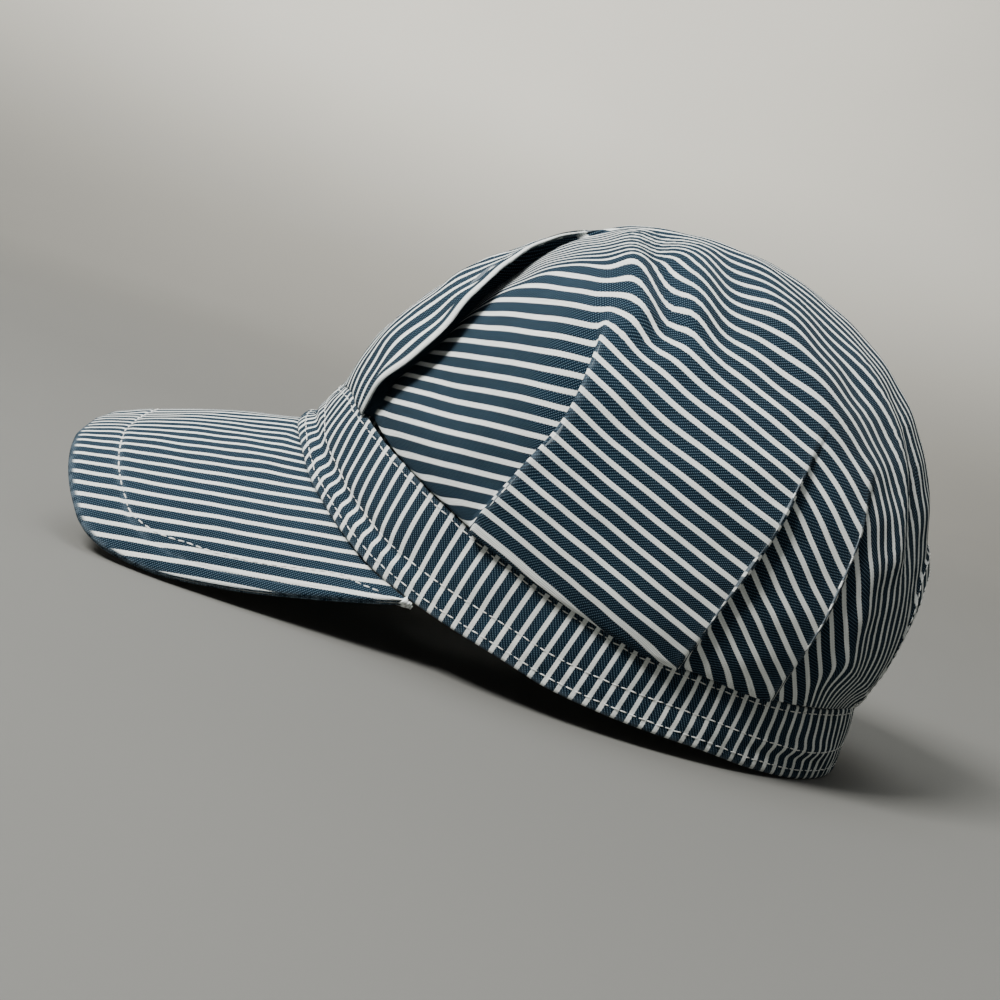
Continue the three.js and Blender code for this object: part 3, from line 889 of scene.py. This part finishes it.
def stitch_rows(name, rows, seed, thick=0.37):
    """Rows of single stitches along lines, each a list of points and normals."""
    rng = np.random.default_rng(seed)
    base, faces = capsule(STITCH_LENGTH, thick)
    points, polygons = [], []
    for line, normals in rows:
        middle, way, up = resample(line, normals, STITCH_PITCH)
        for m, x, z in zip(middle, way, up):
            x = unit(x + 0.05 * rng.normal(size=3))
            y = unit(np.cross(z, x))
            z = np.cross(x, y)
            start = len(points) * len(base)
            grown = base * np.array([rng.uniform(0.9, 1.06), 1, 1])
            points.append(m + z * 0.06 + grown @ np.array([x, y, z]))
            polygons += [tuple(i + start for i in face) for face in faces]
    everything = np.concatenate(points)
    zero = np.zeros(len(everything))
    obj = make_mesh(name, everything, polygons, zero, everything[:, 0], (zero, zero, zero, zero + 1))
    obj.data.materials.append(thread_material())
    return obj


def lines_at(points, normals, measure, value, columns):
    """The line over a grid where a measure that grows along each column reaches a value."""
    line, facing = [], []
    for i in columns:
        m = measure[i]
        order = 1 if m[-1] > m[0] else -1
        at = np.interp(value[i] if np.ndim(value) else value, m[::order], np.arange(len(m))[::order])
        low = min(int(at), len(m) - 2)
        t = at - low
        line.append(points[i, low] * (1 - t) + points[i, low + 1] * t)
        facing.append(normals[i, low])
    return np.array(line), np.array(facing)


def band_stitches(points, height, tall):
    normals = grid_normals(points, True)
    closed = list(range(points.shape[0])) + [0]
    places = (*BAND_SEAMS, (tall - BAND_TOP_SEAM)[:, 0])
    rows = [lines_at(points, normals, height, at, closed) for at in places]
    return stitch_rows("band_thread", rows, seed=3)


def arch_stitches(spot, way, gone, starts):
    half = len(starts)
    right = [i for i in range(half) if starts[i] > 0]
    full = right + [2 * (half - 1) - i for i in right[-2::-1]]
    rows = [lines_at(spot, way, gone, at, full) for at in ARCH_SEAMS]
    for side in (right[0], 2 * (half - 1) - right[0]):
        rows += [bar_tack(spot[side], way[side], gone[side], k) for k in range(5)]
    return stitch_rows("arch_thread", rows, seed=4)


def bar_tack(line, facing, gone, k):
    """A short row of a bar tack beside the foot of the arch."""
    at = np.linspace(1.0 + 0.5 * k, 9.5 - 0.4 * k, 8)
    points = points_at(at, gone, line)
    points[:, 0] += np.sign(points[:, 0]) * (0.4 * k + 0.9 * np.sin(at * 1.1 + k))
    return points, np.repeat(facing[3:4], len(points), axis=0)


def brim_stitches(points, from_edge, up):
    columns = range(6, points.shape[0] - 6)
    edge = points[:, -1]
    tangent = unit(np.gradient(edge, axis=0))
    fan = unit(points[:, -1] - points[:, -8])
    crossing = np.linalg.norm(np.cross(tangent, fan), axis=1)
    inset = np.minimum(BRIM_SEAM / np.maximum(crossing, 0.35), 0.8 * from_edge[:, 0])
    return stitch_rows("brim_thread", [lines_at(points, up, from_edge, inset, columns)], seed=5, thick=0.5)


# Materials.


class Nodes:
    """Short calls for a material's nodes."""

    def __init__(self, name):
        self.material = bpy.data.materials.new(name)
        self.material.use_nodes = True
        self.tree = self.material.node_tree
        self.tree.nodes.clear()
        self.shader = self.tree.nodes.new("ShaderNodeBsdfPrincipled")
        out = self.tree.nodes.new("ShaderNodeOutputMaterial")
        self.tree.links.new(self.shader.outputs[0], out.inputs[0])

    def put(self, socket, value):
        if isinstance(value, bpy.types.NodeSocket):
            self.tree.links.new(value, socket)
        elif isinstance(value, (tuple, list)) and len(value) == 3 and len(socket.default_value) == 4:
            socket.default_value = (*value, 1)
        else:
            socket.default_value = value

    def math(self, kind, a, b=0.0):
        node = self.tree.nodes.new("ShaderNodeMath")
        node.operation = kind
        for socket, value in zip(node.inputs, (a, b)):
            self.put(socket, value)
        return node.outputs[0]

    def times(self, a, b):
        return self.math("MULTIPLY", a, b)

    def step(self, value, low, high):
        node = self.tree.nodes.new("ShaderNodeMapRange")
        node.interpolation_type = "SMOOTHSTEP"
        for socket, v in zip(node.inputs, (value, low, high)):
            self.put(socket, v)
        return node.outputs[0]

    def mix(self, share, a, b):
        node = self.tree.nodes.new("ShaderNodeMix")
        node.data_type = "RGBA"
        self.put(node.inputs[0], share)
        self.put(node.inputs[6], a)
        self.put(node.inputs[7], b)
        return node.outputs[2]

    def vector(self, x, y, z=0.0):
        node = self.tree.nodes.new("ShaderNodeCombineXYZ")
        for socket, value in zip(node.inputs, (x, y, z)):
            self.put(socket, value)
        return node.outputs[0]

    def noise(self, vector, scale, detail=2.0):
        node = self.tree.nodes.new("ShaderNodeTexNoise")
        self.put(node.inputs["Vector"], vector)
        node.inputs["Scale"].default_value = scale
        node.inputs["Detail"].default_value = detail
        return node.outputs[0]

    def place(self):
        return self.tree.nodes.new("ShaderNodeTexCoord").outputs["Object"]

    def cloth(self):
        node = self.tree.nodes.new("ShaderNodeUVMap")
        node.uv_map = "cloth"
        split = self.tree.nodes.new("ShaderNodeSeparateXYZ")
        self.tree.links.new(node.outputs[0], split.inputs[0])
        return split.outputs[0], split.outputs[1]

    def state(self):
        node = self.tree.nodes.new("ShaderNodeVertexColor")
        node.layer_name = "state"
        split = self.tree.nodes.new("ShaderNodeSeparateColor")
        self.tree.links.new(node.outputs[0], split.inputs[0])
        return split.outputs[0], split.outputs[1], split.outputs[2], node.outputs[1]

    def bump(self, height, strength, distance):
        node = self.tree.nodes.new("ShaderNodeBump")
        node.inputs["Strength"].default_value = strength
        node.inputs["Distance"].default_value = distance
        self.put(node.inputs["Height"], height)
        return node.outputs[0]


# Width of one blue yarn and height of one crossing yarn, in mm.
YARN = STRIPE / 14
WEFT = 0.42
# Linear colours. The first pairs are the darkest and the palest yarns.
BLUE_YARNS = (0.0015, 0.0053, 0.0105), (0.0044, 0.0138, 0.026)
BLUE_PATCH = (0.014, 0.030, 0.048)
BLUE_CROSSING = (0.15, 0.235, 0.30)
BLUE_RUBBED = (0.28, 0.36, 0.43)
BLUE_INSIDE = (0.36, 0.41, 0.45)
WHITE_YARNS = (0.72, 0.755, 0.725), (0.90, 0.93, 0.905)
WHITE_PATCH = (0.52, 0.50, 0.43)
# Painted shade of the hollows between the yarns.
YARN_GAP_PAINTED_SHADE = (0.012, 0.018, 0.024)
THREAD_TONES = (0.50, 0.51, 0.49), (0.78, 0.79, 0.76)
SET_GREY = (0.128, 0.128, 0.120)


def weave(n, u, v):
    """Where a light crossing yarn shows between the blue ones, and the height of the weave."""
    iu, iv = n.math("DIVIDE", u, YARN), n.math("DIVIDE", v, WEFT)
    cell = n.math("ADD", n.math("FLOOR", iu), n.math("FLOOR", iv))
    third = n.math("FRACT", n.math("DIVIDE", n.math("ADD", cell, 0.5), 3.0))
    chosen = n.math("LESS_THAN", third, 0.33)
    cu = n.math("ABSOLUTE", n.math("SUBTRACT", n.math("FRACT", iu), 0.5))
    cv = n.math("ABSOLUTE", n.math("SUBTRACT", n.math("FRACT", iv), 0.5))
    dot = n.times(n.step(cu, 0.5, 0.2), n.step(cv, 0.5, 0.15))
    spot = n.times(chosen, dot)
    yarn = n.step(cu, 0.5, 0.0)
    height = n.math("SUBTRACT", yarn, n.times(chosen, 0.55))
    return spot, height, yarn


def stripe_share(n, u, v):
    """1 on the white stripes, with the small steps of the twill along their edges."""
    drift = n.noise(n.vector(n.times(u, 0.03), n.times(v, 0.06)), 1.0)
    wander = n.times(n.math("SUBTRACT", drift, 0.5), 0.5)
    teeth = n.times(n.math("PINGPONG", n.math("DIVIDE", v, 0.95), 0.5), 0.05)
    place = n.math("FRACT", n.math("DIVIDE", n.math("ADD", u, wander), STRIPE))
    off = n.math("ABSOLUTE", n.math("SUBTRACT", place, 0.5))
    return n.step(n.math("ADD", off, teeth), 0.19, 0.155)


def blue_cloth(n, slub, broad, spot, rub, inside):
    """Blue yarns of uneven dye with pale crossing yarns, rubbed and seen from inside."""
    blue = n.mix(n.step(slub, 0.3, 0.7), *BLUE_YARNS)
    blue = n.mix(n.times(n.step(broad, 0.35, 0.75), 0.2), blue, BLUE_PATCH)
    blue = n.mix(n.times(spot, 0.6), blue, BLUE_CROSSING)
    blue = n.mix(n.times(rub, 0.5), blue, BLUE_RUBBED)
    return n.mix(n.times(inside, 0.5), blue, BLUE_INSIDE)


@functools.cache
def denim_material():
    """Hickory-striped denim: blue and off-white yarns in a twill, rubbed paler along its edges."""
    n = Nodes("hickory_denim")
    u, v = n.cloth()
    wear, inside, forced_white, not_blue = n.state()
    spot, height, yarn = weave(n, u, v)
    white = n.math("MAXIMUM", n.times(stripe_share(n, u, v), not_blue), forced_white)
    slub = n.noise(n.vector(n.math("DIVIDE", u, YARN), n.times(v, 0.09)), 1.0)
    place = n.place()
    broad = n.noise(place, 22.0, 3.0)
    rub = n.times(wear, n.step(n.noise(place, 420.0, 2.0), 0.3, 0.65))
    blue = blue_cloth(n, slub, broad, spot, rub, inside)
    pale = n.mix(n.step(slub, 0.25, 0.75), *WHITE_YARNS)
    pale = n.mix(n.times(n.step(broad, 0.4, 0.8), 0.12), pale, WHITE_PATCH)
    # Painted shade: the colour darkens between the yarns, where the weave's hollows fall in shade.
    yarn_gap_painted_shade = n.times(n.step(yarn, 0.4, 0.0), 0.42)
    n.put(n.shader.inputs["Base Color"], n.mix(yarn_gap_painted_shade, n.mix(white, blue, pale), YARN_GAP_PAINTED_SHADE))
    fuzz = n.noise(place, 2600.0, 2.0)
    relief = n.math("ADD", height, n.times(fuzz, 0.5))
    n.put(n.shader.inputs["Normal"], n.bump(relief, 0.55, 0.00022))
    n.shader.inputs["Roughness"].default_value = 0.92
    n.shader.inputs["Specular IOR Level"].default_value = 0.0
    n.shader.inputs["Sheen Weight"].default_value = 0.02
    n.shader.inputs["Sheen Roughness"].default_value = 0.5
    return n.material


@functools.cache
def thread_material():
    """Off-white cotton thread, twisted."""
    n = Nodes("cotton_thread")
    place = n.place()
    tone = n.step(n.noise(place, 900.0, 2.0), 0.3, 0.7)
    n.put(n.shader.inputs["Base Color"], n.mix(tone, *THREAD_TONES))
    n.put(n.shader.inputs["Normal"], n.bump(n.noise(place, 3800.0, 1.0), 0.5, 0.00012))
    n.shader.inputs["Roughness"].default_value = 0.8
    n.shader.inputs["Specular IOR Level"].default_value = 0.25
    return n.material


def set_material():
    """Matt painted floor and wall, with painted light that makes them paler higher up."""
    n = Nodes("pale_grey_set")
    place = n.place()
    tone = n.step(n.noise(place, 1.4, 3.0), 0.3, 0.7)
    split = n.tree.nodes.new("ShaderNodeSeparateXYZ")
    n.put(split.inputs[0], place)
    # Painted light: the grey grows paler with height, to 2.3 times its floor value at 0.4 m up the wall.
    grey_with_painted_light = n.mix(n.step(split.outputs[2], 0.0, 0.4), SET_GREY, tuple(2.3 * part for part in SET_GREY))
    n.put(n.shader.inputs["Base Color"], n.mix(tone, n.mix(0.07, grey_with_painted_light, (0, 0, 0)), grey_with_painted_light))
    n.shader.inputs["Roughness"].default_value = 0.85
    n.shader.inputs["Specular IOR Level"].default_value = 0.2
    return n.material


# The set.


def dish():
    """A round floor that curves up into a wall all around the cap, far away."""
    flat, curve, height = 1.5, 1.1, 2.6
    sides, steps = 96, 16
    profile = [(0.0001, 0.0), (0.5, 0.0), (1.0, 0.0), (flat, 0.0)]
    for k in range(1, steps + 1):
        a = math.pi / 2 * k / steps
        profile.append((flat + curve * math.sin(a), curve - curve * math.cos(a)))
    profile.append((flat + curve, height))
    points, faces = [], []
    for k in range(sides):
        a = 2 * math.pi * k / sides
        points += [(r * math.cos(a), r * math.sin(a), z) for r, z in profile]
    rows = len(profile)
    for k in range(sides):
        for j in range(rows - 1):
            a, b = k * rows + j, (k + 1) % sides * rows + j
            faces.append((a, a + 1, b + 1, b))
    mesh = bpy.data.meshes.new("dish")
    mesh.from_pydata(points, [], faces)
    mesh.polygons.foreach_set("use_smooth", np.ones(len(faces), dtype=bool))
    obj = placed("dish", mesh)
    obj.location.z = -0.0003
    mesh.materials.append(set_material())


def area_light(name, spot, target, size, watts, colour):
    data = bpy.data.lights.new(name, "AREA")
    data.shape = "RECTANGLE"
    data.size, data.size_y = size
    data.energy = watts
    data.color = colour
    obj = placed(name, data)
    obj.location = spot
    obj.rotation_euler = (Vector(target) - Vector(spot)).to_track_quat("-Z", "Y").to_euler()


def lights():
    area_light("front_key", (0.82, -0.9, 1.4), (0, 0.0, 0.08), (0.6, 0.6), 80, (1.0, 0.99, 0.965))
    area_light("overhead", (-0.1, -0.25, 1.6), (0, 0.0, 0.05), (1.0, 1.0), 17, (0.98, 1.0, 0.99))
    area_light("wall_glow", (-1.5, -0.3, 1.5), (-2.3, -0.42, 0.62), (0.3, 0.3), 66, (1.0, 0.95, 0.87))
    world = bpy.data.worlds.new("room")
    world.use_nodes = True
    world.node_tree.nodes["Background"].inputs[0].default_value = (0.80, 0.83, 0.86, 1)
    world.node_tree.nodes["Background"].inputs[1].default_value = 0.55
    bpy.context.scene.world = world


def camera():
    """The photograph's view: level with the cap's side, five degrees down, with the cap tipped forward."""
    target, distance = Vector((0, SHIFT / 1000, 0.060)), 0.65
    rise, roll = math.radians(5), math.radians(18.65)
    back = Vector((math.cos(rise), 0, math.sin(rise)))
    right = Vector((0, 1, 0))
    up = back.cross(right)
    x = math.cos(roll) * right + math.sin(roll) * up
    y = -math.sin(roll) * right + math.cos(roll) * up
    data = bpy.data.cameras.new("camera")
    data.lens, data.sensor_width = 71.82, 36
    data.shift_x, data.shift_y = -0.1027, -0.0068
    obj = placed("camera", data)
    facing = Matrix((x, y, back)).transposed().to_4x4()
    obj.matrix_world = Matrix.Translation(target + distance * back) @ facing
    bpy.context.scene.camera = obj


# Putting it together.


def dressed(obj, node):
    """The cloth's material, and the part's node that a piece stands for."""
    obj.data.materials.append(denim_material())
    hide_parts(node)


def build():
    crown_cloth, spot, way, gone, starts = crown()
    arch_thread = arch_stitches(spot, way, gone, starts)
    dressed(crown_cloth, "crown")
    band_cloth, points, height, tall = band()
    band_thread = band_stitches(points, height, tall)
    dressed(band_cloth, "band")
    brim_top, points, from_edge, up = brim_layer("brim_top_cloth", 0.0, BRIM_LAYER, 0.0, 0.3, 0.35)
    brim_thread = brim_stitches(points, from_edge, up)
    dressed(brim_top, "brim_top")
    brim_under = brim_layer("brim_underside_cloth", BRIM_LAYER + 0.35, BRIM_LAYER, 0.3, 0.0, 0.0)[0]
    dressed(brim_under, "brim_underside")


build()
dish()
lights()
camera()
